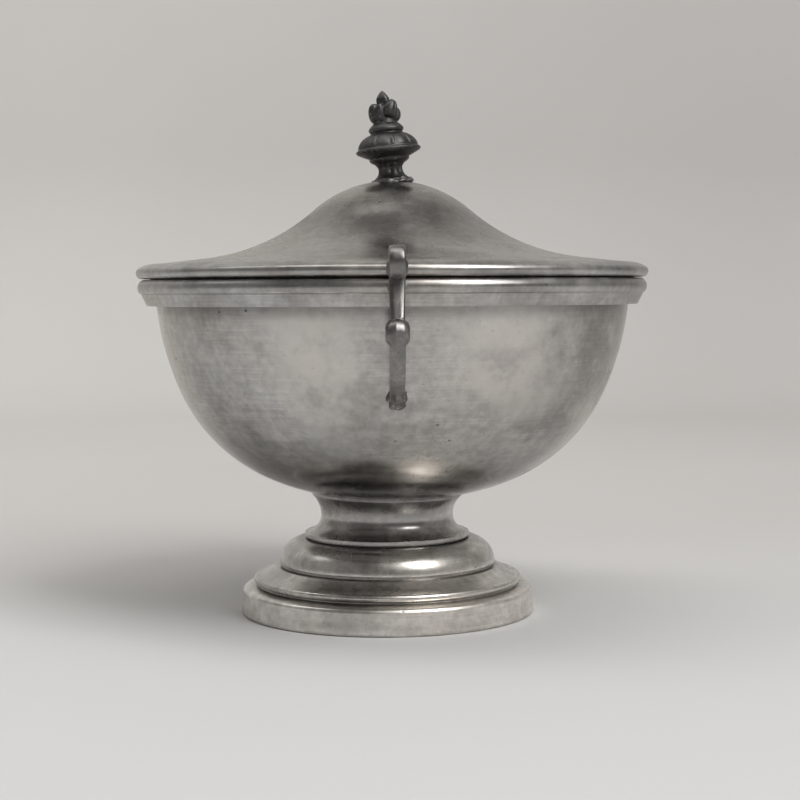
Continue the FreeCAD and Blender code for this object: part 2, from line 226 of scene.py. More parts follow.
def spun_piece(node, body, slot, material, axis=0.0, ease=EASE, shape=None):
    """A CAD node turned again as a spun piece."""
    points, closed = seam(node, axis)
    mesh = spin(eased(points, closed, ease), closed, shape=shape)
    handmade(mesh, axis)
    piece = make_object("spun_" + node, mesh)
    piece.location.x = axis
    return settle(piece, body, slot, material, node)


# ---------- materials ----------


class Nodes:
    """Short ways to add shader nodes to one material."""

    def __init__(self, name):
        self.material = bpy.data.materials.new(name)
        self.material.use_nodes = True
        self.tree = self.material.node_tree
        self.tree.nodes.clear()
        self.output = self.add("ShaderNodeOutputMaterial")
        self.shader = self.add("ShaderNodeBsdfPrincipled")
        self.tree.links.new(self.shader.outputs[0], self.output.inputs[0])
        self.place = self.add("ShaderNodeTexCoord").outputs["Object"]

    def add(self, kind, **values):
        node = self.tree.nodes.new(kind)
        for key, value in values.items():
            setattr(node, key, value)
        return node

    def join(self, source, target):
        self.tree.links.new(source, target)

    def feed(self, socket, value):
        if hasattr(value, "links"):
            self.join(value, socket)
        else:
            socket.default_value = value

    def math(self, operation, *values, clamp=False):
        node = self.add("ShaderNodeMath", operation=operation, use_clamp=clamp)
        for socket, value in zip(node.inputs, values):
            self.feed(socket, value)
        return node.outputs[0]

    def noise(self, scale, detail=2.0, rough=0.5, vector=None, w=None, swirl=0.0):
        node = self.add("ShaderNodeTexNoise")
        node.inputs["Distortion"].default_value = swirl
        node.noise_dimensions = "3D" if w is None else "4D"
        node.inputs["Scale"].default_value = scale
        node.inputs["Detail"].default_value = detail
        node.inputs["Roughness"].default_value = rough
        self.join(self.place if vector is None else vector, node.inputs["Vector"])
        if w is not None:
            self.feed(node.inputs["W"], w)
        return node.outputs["Fac"]

    def ramp(self, value, low, high, to_low=0.0, to_high=1.0):
        """The value between low and high, stretched to between to_low and to_high."""
        node = self.add("ShaderNodeMapRange", interpolation_type="SMOOTHSTEP")
        self.feed(node.inputs["Value"], value)
        for socket, number in zip(("From Min", "From Max", "To Min", "To Max"), (low, high, to_low, to_high)):
            node.inputs[socket].default_value = number
        return node.outputs["Result"]

    def mix(self, factor, a, b, blend="MIX"):
        node = self.add("ShaderNodeMix", data_type="RGBA", blend_type=blend)
        for socket, value in ((0, factor), (6, a), (7, b)):
            self.feed(node.inputs[socket], value)
        return node.outputs[2]

    def spots(self, scale, share, radius, flatten=1.0):
        """Round spots, 1 at their middles, in that share of the cells. The radius is in cells."""
        stretched = self.add("ShaderNodeVectorMath", operation="MULTIPLY")
        self.join(self.place, stretched.inputs[0])
        stretched.inputs[1].default_value = (1.0, 1.0, flatten)
        cells = self.add("ShaderNodeTexVoronoi")
        cells.inputs["Scale"].default_value = scale
        self.join(stretched.outputs[0], cells.inputs["Vector"])
        chance = self.add("ShaderNodeSeparateColor")
        self.join(cells.outputs["Color"], chance.inputs[0])
        chosen = self.ramp(chance.outputs[0], 1.0 - share, 1.0, 0.0, radius)
        away = self.math("DIVIDE", cells.outputs["Distance"], self.math("MAXIMUM", chosen, 0.001))
        there = self.math("GREATER_THAN", chosen, 0.2 * radius)
        return self.math("MULTIPLY", there, self.math("SUBTRACT", 1.0, away, clamp=True))

    def bump(self, height, distance, strength=1.0, after=None):
        node = self.add("ShaderNodeBump")
        node.inputs["Distance"].default_value = distance
        node.inputs["Strength"].default_value = strength
        self.join(height, node.inputs["Height"])
        if after is not None:
            self.join(after, node.inputs["Normal"])
        return node.outputs["Normal"]


RING_DRIFT = 0.0016  # how far the rings' noise wanders in one turn


def lathe_coordinates(n):
    """A vector whose noise makes rings about Z: radius, height and a little of the direction."""
    split = n.add("ShaderNodeSeparateXYZ")
    n.join(n.place, split.inputs[0])
    x, y, z = split.outputs
    radius = n.math("SQRT", n.math("ADD", n.math("MULTIPLY", x, x), n.math("MULTIPLY", y, y)))
    cosine = n.math("DIVIDE", x, n.math("MAXIMUM", radius, 1e-4))
    sine = n.math("DIVIDE", y, n.math("MAXIMUM", radius, 1e-4))
    joined = n.add("ShaderNodeCombineXYZ")
    n.join(radius, joined.inputs[0])
    n.join(z, joined.inputs[1])
    n.join(n.math("MULTIPLY", cosine, RING_DRIFT), joined.inputs[2])
    return joined.outputs[0], n.math("MULTIPLY", sine, RING_DRIFT)


COOL_OFFSET = (0.31, 0.17, 0.05)  # keeps the cool patches apart from the warm ones
RUBBED_GAIN = 0.65  # of the light and warm tones added together
RUBBED_RAGGED = 0.06  # metres that the clouds move a rubbed place's edge by
RUBBED_AMOUNT = 0.8
STAIN_COLOUR = (0.16, 0.15, 0.14, 1)
# Colour of the dark height bands: painted shade, a painted contact shadow and painted dark reflections,
# partly tarnish
SHADE_AND_TARNISH_COLOUR = (0.11, 0.105, 0.1, 1)
PIT_COLOUR = (0.04, 0.036, 0.03, 1)
NICK_COLOUR = (0.72, 0.7, 0.66, 1)
WORN_COLOUR = (0.66, 0.64, 0.61, 1)
CREASE_SHADE_COLOUR = (0.07, 0.065, 0.06, 1)
CAST_PIT_COLOUR = (0.03, 0.028, 0.025, 1)


def pewter(name, dark, light, warm, gloss, pitted=0.12, shade_and_tarnish=(), rubbed=()):
    """Old spun pewter: turned rings, cloudy tarnish, warm and cool patches, dark pits, worn edges,
    and painted shade in creases and in bands at given heights.

    dark, light and warm are the metal's tones. gloss is its lowest and highest roughness, and
    pitted the share of places with a pit.
    Each row of the dark height bands is a height, how far above and below it the metal is darkened, and
    how much. The bands are painted shade, a painted contact shadow and painted dark reflections, and partly
    tarnish too.
    Each row of rubbed is the middle and radius of a place that hands have kept bright.
    """
    n = Nodes(name)
    rings_at, drift = lathe_coordinates(n)
    rings = n.noise(2300.0, 3.0, 0.65, rings_at, drift)
    bands = n.noise(330.0, 2.0, 0.5, rings_at, drift)
    clouds = n.noise(24.0, 4.0, 0.55, swirl=0.2)
    mottle = n.noise(130.0, 4.0, 0.6)
    grain = n.noise(2200.0, 2.0, 0.6)

    tone = n.math("MULTIPLY", clouds, 0.56)
    tone = n.math("ADD", tone, n.math("MULTIPLY", mottle, 0.34))
    tone = n.math("ADD", tone, n.math("MULTIPLY", bands, 0.1))
    colour = n.mix(n.ramp(tone, 0.4, 0.6), (*dark, 1), (*light, 1))
    colour = n.mix(n.ramp(n.noise(17.0, 2.0, 0.5), 0.47, 0.66, 0.0, 0.6), colour, (*warm, 1))
    cool = (light[0] * 0.96, light[1], light[2] * 1.03, 1)
    patches = n.add("ShaderNodeVectorMath", operation="ADD")
    n.join(n.place, patches.inputs[0])
    patches.inputs[1].default_value = COOL_OFFSET
    colour = n.mix(n.ramp(n.noise(21.0, 3.0, 0.5, patches.outputs[0]), 0.55, 0.7, 0.0, 0.5), colour, cool)
    lined = n.ramp(n.noise(40.0, 2.0), 0.35, 0.65, 0.03, 0.1)
    ring_tone = n.math("ADD", 1.0, n.math("MULTIPLY", lined, n.ramp(rings, 0.3, 0.7, -1.0, 1.0)))
    freckled = n.ramp(n.noise(420.0, 4.0, 0.65), 0.3, 0.7, 0.86, 1.1)
    colour = n.mix(1.0, colour, n.math("MULTIPLY", ring_tone, freckled), "MULTIPLY")

    for x, y, z, radius in rubbed:
        apart = n.add("ShaderNodeVectorMath", operation="DISTANCE")
        n.join(n.place, apart.inputs[0])
        apart.inputs[1].default_value = (x * MM, y * MM, z * MM)
        uneven = n.math("MULTIPLY", n.math("SUBTRACT", clouds, 0.5), RUBBED_RAGGED)
        ragged = n.math("ADD", apart.outputs["Value"], uneven)
        near = n.ramp(ragged, 0.1 * radius * MM, radius * MM, RUBBED_AMOUNT, 0.0)
        bright = n.math("MULTIPLY", near, n.ramp(mottle, 0.3, 0.55, 0.55, 1.0))
        colour = n.mix(bright, colour, tuple(RUBBED_GAIN * (a + b) for a, b in zip(light, warm)) + (1,))
    stains = n.ramp(n.noise(58.0, 3.0, 0.6), 0.58, 0.78, 0.0, 0.4)
    colour = n.mix(stains, colour, STAIN_COLOUR)
    # Dark bands at given heights: painted shade in grooves, in gaps and under overhangs, a painted contact
    # shadow and painted dark reflections, partly tarnish.
    for height, reach, amount in shade_and_tarnish:
        split = n.add("ShaderNodeSeparateXYZ")
        n.join(n.place, split.inputs[0])
        away = n.math("ABSOLUTE", n.math("SUBTRACT", split.outputs[2], height * MM))
        band = n.ramp(away, 0.0, reach * MM, amount, 0.0)
        shade_band = n.math("MULTIPLY", band, n.ramp(mottle, 0.3, 0.6, 0.6, 1.0))
        colour = n.mix(shade_band, colour, SHADE_AND_TARNISH_COLOUR)
    crowd = n.ramp(n.noise(30.0, 2.0, 0.5), 0.42, 0.6, 0.25, 1.0)
    pits = n.math("MULTIPLY", n.spots(300.0, pitted, 0.2, 1.5), crowd)
    colour = n.mix(n.math("MULTIPLY", pits, 0.9), colour, PIT_COLOUR)
    nicks = n.spots(410.0, 0.05, 0.14, 0.8)
    colour = n.mix(n.math("MULTIPLY", nicks, 0.5), colour, NICK_COLOUR)
    edge = n.add("ShaderNodeNewGeometry").outputs["Pointiness"]
    worn = n.ramp(edge, 0.515, 0.56, 0.0, 0.55)
    colour = n.mix(worn, colour, WORN_COLOUR)
    # Painted shade: concave creases, found by their pointiness, are darkened.
    colour = n.mix(n.ramp(edge, 0.44, 0.488, 0.75, 0.0), colour, CREASE_SHADE_COLOUR)
    n.join(colour, n.shader.inputs["Base Color"])
    n.shader.inputs["Metallic"].default_value = 1.0

    rough = n.math("ADD", n.math("MULTIPLY", clouds, 0.55), n.math("MULTIPLY", mottle, 0.45))
    rough = n.ramp(rough, 0.38, 0.62, *gloss)
    rough = n.math("ADD", rough, n.math("MULTIPLY", stains, 0.3))
    n.join(n.math("SUBTRACT", rough, n.math("MULTIPLY", worn, 0.1)), n.shader.inputs["Roughness"])

    normal = n.bump(n.noise(55.0, 2.0, 0.5), 0.2 * MM)
    normal = n.bump(rings, 0.0035 * MM, 1.0, normal)
    normal = n.bump(grain, 0.003 * MM, 1.0, normal)
    normal = n.bump(n.math("SUBTRACT", 1.0, pits), 0.06 * MM, 1.0, normal)
    n.join(normal, n.shader.inputs["Normal"])
    return n.material


def casting(name, dark, light, gloss, sandy=1.0, wear=0.35):
    """Cast metal: no rings, a sandy skin, painted shade in its hollows and rubbed high places.

    dark and light are its tones, gloss its lowest and highest roughness, sandy the height of its
    skin's grains, and wear how bright its high places are rubbed.
    """
    n = Nodes(name)
    clouds = n.noise(150.0, 4.0, 0.6)
    sand = n.noise(1500.0, 3.0, 0.6)
    edge = n.add("ShaderNodeNewGeometry").outputs["Pointiness"]
    worn = n.ramp(edge, 0.5, 0.6)
    tone = n.math("ADD", n.math("MULTIPLY", clouds, 0.5), n.math("MULTIPLY", worn, wear))
    tone = n.math("ADD", tone, n.math("MULTIPLY", sand, 0.15))
    colour = n.mix(n.ramp(tone, 0.25, 0.7), (*dark, 1), (*light, 1))
    # Painted shade: hollows, found by their pointiness, are darkened.
    hollow_shade = n.ramp(edge, 0.42, 0.485, 0.8, 0.0)
    colour = n.mix(hollow_shade, colour, (*(0.35 * c for c in dark), 1))
    pits = n.spots(600.0, 0.3, 0.3)
    colour = n.mix(n.math("MULTIPLY", pits, 0.6), colour, CAST_PIT_COLOUR)
    n.join(colour, n.shader.inputs["Base Color"])
    n.shader.inputs["Metallic"].default_value = 1.0
    n.join(n.ramp(clouds, 0.35, 0.65, *gloss), n.shader.inputs["Roughness"])
    normal = n.bump(clouds, 0.15 * MM)
    normal = n.bump(sand, 0.025 * MM * sandy, 1.0, normal)
    normal = n.bump(n.math("SUBTRACT", 1.0, pits), 0.04 * MM * sandy, 1.0, normal)
    n.join(normal, n.shader.inputs["Normal"])
    return n.material


BOWL_RUBBED = ((-20, -62, 72, 26), (25, -60, 73, 29), (46, 48, 70, 36), (-50, 40, 68, 36))
# Its dark bands: under the rim band partly tarnish and partly painted shade, and on the underside a painted
# dark reflection of the foot.
BOWL_METAL = pewter(
    "bowl_pewter", (0.3, 0.291, 0.279), (0.51, 0.495, 0.476), (0.53, 0.488, 0.445), (0.16, 0.28), 0.3,
    shade_and_tarnish=((84.0, 3.5, 0.5), (38.0, 10.0, 0.6)), rubbed=BOWL_RUBBED,
)
# Its dark bands: a painted dark reflection of the finial round its foot, and a darker middle slope.
LID_METAL = pewter(
    "lid_pewter", (0.31, 0.298, 0.283), (0.5, 0.484, 0.464), (0.5, 0.457, 0.41), (0.24, 0.36), 0.2,
    shade_and_tarnish=((117.6, 2.5, 0.5), (108.0, 10.0, 0.4)),
)
# Its dark bands: painted shade in the gap between lid and rim, and in the groove below the bead.
RIM_METAL = pewter(
    "rim_pewter", (0.33, 0.321, 0.309), (0.52, 0.511, 0.498), (0.52, 0.481, 0.438), (0.3, 0.44), 0.4,
    shade_and_tarnish=((91.5, 0.3, 0.6), (87.6, 0.3, 0.35)),
)
# Its dark bands: painted shade in the grooves between the foot's rings.
FOOT_METAL = pewter(
    "foot_pewter", (0.47, 0.457, 0.438), (0.78, 0.764, 0.74), (0.78, 0.726, 0.66), (0.23, 0.34), 0.14,
    shade_and_tarnish=((20.6, 0.9, 0.7), (13.2, 0.8, 0.7), (8.0, 0.9, 0.7)),
)
# Its dark bands: painted shade under the bowl at the neck's top, and in the groove at its foot.
NECK_METAL = pewter(
    "neck_pewter", (0.36, 0.35, 0.336), (0.6, 0.587, 0.568), (0.6, 0.558, 0.508), (0.22, 0.34), 0.2,
    shade_and_tarnish=((32.0, 3.0, 0.5), (20.6, 0.9, 0.7)),
)
# Its dark bands: painted shade in the groove at its top, and a painted contact shadow along its foot.
PLINTH_METAL = pewter(
    "plinth_pewter", (0.63, 0.611, 0.583), (0.94, 0.921, 0.888), (0.92, 0.857, 0.773), (0.28, 0.4), 0.16,
    shade_and_tarnish=((8.0, 0.9, 0.7), (0.0, 1.2, 0.6)),
)
# The bezel's pewter is near black: partly dull oxide inside the lid, partly painted shade for the gap between
# lid and rim.
INNER_METAL = pewter(
    "inner_pewter", (0.1, 0.096, 0.09), (0.2, 0.195, 0.185), (0.2, 0.18, 0.16), (0.4, 0.55), 0.2,
)
HANDLE_METAL = casting(
    "handle_pewter", (0.2, 0.194, 0.186), (0.62, 0.605, 0.583), (0.28, 0.44), sandy=1.4, wear=0.05,
)
FINIAL_METAL = casting("finial_pewter", (0.075, 0.074, 0.074), (0.27, 0.268, 0.265), (0.4, 0.55))
SOLDER = casting("solder", (0.16, 0.155, 0.148), (0.56, 0.548, 0.53), (0.4, 0.55))
JOINT_METAL = casting("finial_solder", (0.17, 0.165, 0.158), (0.5, 0.49, 0.475), (0.5, 0.64))
STEEL = casting("old_steel", (0.25, 0.24, 0.225), (0.48, 0.47, 0.45), (0.25, 0.4), sandy=0.4)


# ---------- spun pieces ----------

bowl_points, _ = seam("bowl_shell")


def bowl_height(radius):
    """Height of the bowl's outer surface at that radius, low down on the bowl."""
    for a, b in zip(bowl_points, bowl_points[1:]):
        if a.x <= radius <= b.x:
            return a.y + (b.y - a.y) * (radius - a.x) / (b.x - a.x)
    raise ValueError("that radius is off the bowl's underside")


NECK_TOP = max(p.y for p in seam("pedestal_neck", FOOT_AXIS)[0])
NECK_FITTED = 3.0 * MM  # how far down from its top the neck is reshaped
NECK_SUNK = 0.04 * MM  # how far the neck goes into the bowl


def neck_under_bowl(radius, height, angle):
    """Fits the neck's top to the bowl's underside, which it meets off centre."""
    out = hypot(radius * cos(angle) + FOOT_AXIS, radius * sin(angle))
    share = max(0.0, 1 - (NECK_TOP - height) / NECK_FITTED)
    rise = bowl_height(out) - bowl_height(radius + FOOT_AXIS)
    return radius, min(height + share * rise, bowl_height(out) + NECK_SUNK)


def make_spun_pieces():
    spun_piece("bowl_shell", "bowl", "pewter", BOWL_METAL)
    spun_piece("rim_band", "bowl", "pewter", RIM_METAL)
    spun_piece("pedestal_neck", "bowl", "pewter", NECK_METAL, FOOT_AXIS, NECK_EASE, neck_under_bowl)
    spun_piece("foot_dome", "bowl", "pewter", FOOT_METAL, FOOT_AXIS)
    spun_piece("foot_step", "bowl", "pewter", FOOT_METAL, FOOT_AXIS)
    spun_piece("foot_plinth", "bowl", "pewter", PLINTH_METAL, FOOT_AXIS)
    spun_piece("lid_shell", "lid", "pewter", LID_METAL)
    spun_piece("lid_edge_ring", "lid", "pewter", RIM_METAL)
    spun_piece("lid_bezel", "lid", "pewter", INNER_METAL)


# ---------- castings ----------
# These are built in millimetres, then scaled.


def fused(name, mesh, voxel, smoothing=2):
    """One skin over the overlapping solids of a bmesh in millimetres, as an object in metres."""
    rough = make_object(name, mesh)
    remesh = rough.modifiers.new("skin", "REMESH")
    remesh.mode = "VOXEL"
    remesh.voxel_size = voxel
    smooth = rough.modifiers.new("smooth", "SMOOTH")
    smooth.factor = 0.5
    smooth.iterations = smoothing
    bpy.context.view_layer.update()
    view = bpy.context.evaluated_depsgraph_get()
    data = bpy.data.meshes.new_from_object(rough.evaluated_get(view))
    rough.modifiers.clear()
    rough.data = data
    data.transform(Matrix.Scale(MM, 4))
    for polygon in data.polygons:
        polygon.use_smooth = True
    return rough


def stitch(mesh, rows, closed=False):
    """Quads between successive rings of vertices, with the end rings filled."""
    for low, high in list(zip(rows, rows[1:])) + ([(rows[-1], rows[0])] if closed else []):
        for k in range(len(low)):
            n = (k + 1) % len(low)
            mesh.faces.new((low[k], low[n], high[n], high[k]))
    if not closed:
        mesh.faces.new(list(reversed(rows[0])))
        mesh.faces.new(rows[-1])


# Half of a bar's section: (across the width, out from the middle), both in halves of the bar's size
FLAT_SECTION = [(-1, -0.55), (-0.82, -0.9), (-0.45, -1), (0.45, -1), (0.82, -0.9), (1, -0.55),
                (1, 0.55), (0.82, 0.9), (0.45, 1), (-0.45, 1), (-0.82, 0.9), (-1, 0.55)]
RIDGED_SECTION = [(-1, -0.55), (-0.82, -0.9), (-0.45, -1), (0.45, -1), (0.82, -0.9), (1, -0.55),
                  (1, 0.4), (0.86, 0.66), (0.28, 1.1), (-0.4, 0.88), (-0.9, 0.66), (-1, 0.4)]


def bar(mesh, path, section):
    """A bar along a path in the handle's plane. The path's steps are (reach, height, width, thickness)."""
    rows = []
    for i, (reach, height, width, thickness) in enumerate(path):
        before, after = path[max(i - 1, 0)], path[min(i + 1, len(path) - 1)]
        along = Vector((after[0] - before[0], after[1] - before[1])).normalized()
        out = Vector((along.y, -along.x))
        row = []
        for across, away in section:
            place = Vector((reach, height)) + out * away * thickness / 2
            row.append(mesh.verts.new((across * width / 2, place.x, place.y)))
        rows.append(row)
    stitch(mesh, rows)


def button(mesh, reach, height, radius, half_width):
    """A domed round boss, on an axis across the handle."""
    rows = []
    for i in range(1, 16):
        lift = cos(pi * i / 16)
        around = sin(pi * i / 16) ** 0.55
        row = []
        for k in range(32):
            angle = tau * k / 32
            row.append(mesh.verts.new((
                half_width * lift,
                reach + radius * around * cos(angle),
                height + radius * around * sin(angle),
            )))
        rows.append(row)
    stitch(mesh, rows)


def between(a, b, t):
    return a + (b - a) * t


def scroll_path(centre, start, end, radius_at, width_at, thickness_at, steps):
    """Steps of a bar's path round a centre, from one angle to another."""
    path = []
    for i in range(steps + 1):
        t = i / steps
        angle = radians(between(start, end, t))
        radius = radius_at(t)
        reach, height = centre.x + radius * cos(angle), centre.y + radius * sin(angle)
        path.append((reach, height, width_at(t), thickness_at(t)))
    return path


VOLUTE_RADIUS = 4.6
VOLUTE = Vector((HANDLE_END.y - VOLUTE_RADIUS, HANDLE_END.z - VOLUTE_RADIUS))
KNUCKLE = Vector((77.2, 78.8))
STRUT_CURVE = 24.0
LOWER_CURVE = 16.3
BAR = 2.4  # thickness


def handle_mesh():
    """One scroll handle in millimetres: x across, y its reach from the bowl's axis, z up."""
    mesh = bmesh.new()
    reach = VOLUTE.x - 3.4
    strut_centre = Vector((reach + STRUT_CURVE, VOLUTE.y))
    strut_end = 180 + degrees(acos(1 - (KNUCKLE.x - 0.4 - reach) / STRUT_CURVE))
    strut = scroll_path(strut_centre, strut_end + 1, 180, lambda t: STRUT_CURVE,
                        lambda t: between(3.3, 4.1, t**0.8), lambda t: between(2.3, BAR, t), 14)
    roll = scroll_path(VOLUTE, 180, -190, lambda t: 3.4 - 2.25 * max(0.0, (t - 0.4) / 0.6) ** 1.1,
                       lambda t: between(4.1, 3.8, min(1, 2 * t)), lambda t: between(BAR, 1.5, t), 44)
    bar(mesh, strut + roll[1:], FLAT_SECTION)
    button(mesh, VOLUTE.x, VOLUTE.y - 0.2, 3.3, 1.3)
    button(mesh, VOLUTE.x + 0.1, VOLUTE.y - 0.7, 2.6, 2.6)
    lower_centre = Vector((KNUCKLE.x + 3.4 - BAR / 2 - LOWER_CURVE, KNUCKLE.y))
    run_height = lower_centre.y - LOWER_CURVE
    run = [
        (between(58.7, lower_centre.x, i / 4), run_height, between(3.3, 3.55, i / 4), BAR)
        for i in range(4)
    ]
    sweep = scroll_path(lower_centre, -90, 0, lambda t: LOWER_CURVE,
                        lambda t: between(3.55, 3.6, t), lambda t: BAR, 24)
    leaf = scroll_path(KNUCKLE, 0, 118, lambda t: 3.4 - BAR / 2,
                       lambda t: between(3.6, 2.5, t**1.6), lambda t: between(BAR, 1.3, t), 14)
    bar(mesh, run + sweep + leaf[1:], RIDGED_SECTION)
    button(mesh, KNUCKLE.x - 0.1, KNUCKLE.y - 0.3, 3.4, 2.9)
    tang = [(between(67.6, reach, i / 3), 88.8, 2.9, 2.7) for i in range(4)]
    bar(mesh, tang, FLAT_SECTION)
    return mesh


def lump(mesh, centre, radius, seed):
    """An uneven round drop of solder."""
    made = bmesh.ops.create_icosphere(mesh, subdivisions=3, radius=radius)
    for vert in made["verts"]:
        swell = 1 + 0.22 * noise.noise(vert.co * 0.9 + Vector((seed, 0, 0)))
        vert.co = vert.co * swell + centre


HANDLE_VOXEL = 0.15
HANDLE_SMOOTHING = 7
SOLDER_VOXEL = 0.14
FOOT_DROPS = [  # across, reach, height, radius
    (0.1, 58.9, 61.9, 1.55), (1.45, 59.0, 62.3, 1.2), (-1.35, 58.9, 62.1, 1.25), (1.3, 58.8, 63.6, 0.9),
    (-1.6, 58.9, 63.6, 0.85), (0.6, 58.4, 60.6, 1.25), (-0.6, 58.3, 60.5, 1.2), (-1.7, 57.6, 60.6, 0.7),
]
TANG_DROPS = [
    (-1.7, 69.5, 89.3, 0.95), (1.6, 69.2, 88.9, 0.7), (1.2, 69.5, 87.9, 0.7), (-1.0, 69.6, 87.6, 0.7),
    (0.2, 69.5, 87.5, 0.8), (-1.1, 69.4, 90.0, 0.7),
]


def bowl_reach(height):
    """Radius of the bowl's outer surface at a height, in millimetres."""
    for a, b in zip(bowl_points, bowl_points[1:]):
        if a.y <= height * MM < b.y:
            return between(a.x, b.x, (height * MM - a.y) / (b.y - a.y)) / MM
    raise ValueError("that height is off the bowl")


def solder_mesh():
    """The drops at a handle's foot and tang, which stop inside the wall that they stick to."""
    mesh = bmesh.new()
    for seed, (across, reach, height, radius) in enumerate(FOOT_DROPS + TANG_DROPS):
        lump(mesh, Vector((across, reach, height)), radius, seed * 3.1)
    for vert in mesh.verts:
        out = hypot(vert.co.x, vert.co.y)
        least = (bowl_reach(vert.co.z) if vert.co.z < 80 else 68.5) - 0.4
        if out < least:
            vert.co.x *= least / out
            vert.co.y *= least / out
    return mesh


def make_handles():
    for side, turn in (("front", pi), ("back", 0.0)):
        place = Matrix.Rotation(turn, 4, "Z")
        handle = fused(f"{side}_scroll_handle", handle_mesh(), HANDLE_VOXEL, HANDLE_SMOOTHING)
        handle.data.transform(place)
        settle(handle, "bowl", "cast_pewter", HANDLE_METAL, f"{side}_handle")
        solder = fused(f"{side}_handle_joint", solder_mesh(), SOLDER_VOXEL)
        solder.data.transform(place)
        settle(solder, "bowl", "solder", SOLDER, f"{side}_handle_solder")


# ---------- finial ----------

FINIAL_OUTLINE = [  # radius and height above the crown, in millimetres
    (0, -0.45), (5.2, -0.45), (5.25, 0.35), (4.55, 0.75), (3.85, 1.5), (3.5, 2.6), (3.5, 3.6),
    (4.2, 4.75), (5.1, 5.3), (5.5, 5.75), (5.45, 6.25), (6.6, 6.75), (8.6, 7.75), (8.9, 8.15),
    (8.85, 8.6), (8.2, 8.95), (8.15, 9.3), (7.7, 10.4), (6.6, 11.7), (5.2, 12.55), (4.4, 12.8),
    (4.35, 13.2), (4.75, 13.55), (4.85, 14.1), (4.3, 14.85), (3.45, 15.55), (2.9, 16.5), (2.3, 18.0),
    (1.9, 19.6), (1.75, 20.6), (2.05, 21.6), (1.95, 22.4), (1.3, 23.4), (0.5, 24.2), (0, 24.55),
]
FLUTES = 8
GADROONS = 9
LOBES = [  # angle in degrees, reach, height, (radial, tangential, upright) half sizes, tilt in degrees
    (-168, 2.6, 18.4, (2.0, 2.1, 2.85), -12), (-122, 2.25, 18.3, (1.7, 1.55, 2.8), -14),
    (-46, 2.4, 19.3, (2.15, 2.15, 2.65), -20), (10, 3.0, 17.8, (1.7, 1.7, 2.0), -8),
    (62, 2.5, 18.8, (2.0, 2.1, 2.75), -14), (122, 2.5, 18.5, (2.0, 2.1, 2.8), -14),
]


def finial_relief(radius, height, angle):
    """Flutes on the waist, gadroons on the cushion and soft facets on the bud."""
    flute = exp(-(((height - 3.1) / 1.5) ** 4))
    radius -= 0.42 * flute * (1 - abs(sin(FLUTES * angle / 2))) ** 0.8
    cushion = exp(-(((height - 10.9) / 1.5) ** 6))
    wave = abs(sin(GADROONS * angle / 2))
    radius += cushion * (0.6 * wave**0.6 - 0.45 + 0.62 * exp(-((wave / 0.24) ** 2)))
    bud = exp(-(((height - 22.4) / 1.6) ** 6))
    return radius * (1 - 0.12 * bud * (0.5 + 0.5 * cos(4 * angle + 0.6))), height


def lobe(mesh, angle, reach, height, size, tilt):
    """One curled lobe round the bud: long, with a crease down its middle."""
    made = bmesh.ops.create_icosphere(mesh, subdivisions=4, radius=1.0)
    turn = Matrix.Rotation(angle, 3, "Z") @ Matrix.Rotation(tilt, 3, "X")
    for vert in made["verts"]:
        p = vert.co.copy()
        p *= 1 - 0.16 * exp(-((p.y / 0.16) ** 2)) * max(0.0, p.x)
        p.x += 0.18 * (p.z + 0.2) ** 2 - 0.1
        p = Vector((p.x * size[0], p.y * size[1] * (1 - 0.25 * p.z), p.z * size[2]))
        vert.co = turn @ p + Vector((reach * cos(angle), reach * sin(angle), height))


def finial_mesh():
    outline = eased([Vector((r * MM, h * MM)) for r, h in FINIAL_OUTLINE], False, 0.15 * MM)
    mesh = spin([p / MM for p in outline], False, 180, finial_relief)
    for angle, reach, height, size, tilt in LOBES:
        lobe(mesh, radians(angle), reach, height, size, radians(tilt))
    return mesh


def leaned(piece):
    """Stands a piece that was made upright over the crown's top in its leaning place."""
    piece.data.transform(Matrix.Translation((0, 0, CROWN_TOP)) @ Matrix.Rotation(FINIAL_LEAN, 4, "Y"))
    return piece


def joint_mesh():
    """An uneven fillet of solder round the finial's base."""
    corners = ((4.3, -0.75), (6.0, -0.75), (5.9, -0.3), (5.5, 0.1), (5.2, 0.45), (4.3, 0.5))
    outline = [Vector(p) for p in corners]

    def uneven(radius, height, angle):
        swell = noise.noise(Vector((2.2 * cos(angle), 2.2 * sin(angle), height))) + 0.5 * noise.noise(
            Vector((6 * cos(angle), 6 * sin(angle), 2 * height)))
        return (radius, height) if radius < 4.5 else (radius + 0.4 * swell, height + 0.3 * swell)

    return spin(outline, True, 180, uneven)


FINIAL_VOXEL = 0.13
JOINT_VOXEL = 0.12


def make_finial():
    finial = leaned(fused("cast_finial", finial_mesh(), FINIAL_VOXEL))
    settle(finial, "lid", "cast_pewter", FINIAL_METAL, "finial")
    joint = leaned(fused("finial_joint", joint_mesh(), JOINT_VOXEL))
    settle(joint, "lid", "solder", JOINT_METAL, "finial_solder")


STUD_RADIUS = 1.5
STUD_ENDS = (-6.5, 6.0)
THREAD_PITCH = 0.5
WASHER_BOTTOM = -3.3
NUT_HEIGHT = 2.4
NUT_HALF_FLATS = 2.75


def threaded(radius, height, angle):
    """A screw thread, as a wave that climbs one pitch in a turn."""
    if radius < STUD_RADIUS - 0.01:
        return radius, height
    wave = 2 * abs((height / THREAD_PITCH - angle / tau) % 1.0 - 0.5)
    return radius - 0.28 * wave, height


def hexagonal(radius, height, angle):
    """Cuts a round blank to six flats."""
    sixth = tau / 6
    flat = NUT_HALF_FLATS / cos((angle + sixth / 2) % sixth - sixth / 2)
    return min(radius, flat), height


def small_part(name, mesh, node):
    piece = make_object(name, mesh)
    piece.data.transform(Matrix.Scale(MM, 4))
    settle(leaned(piece), "lid", "steel", STEEL, node)


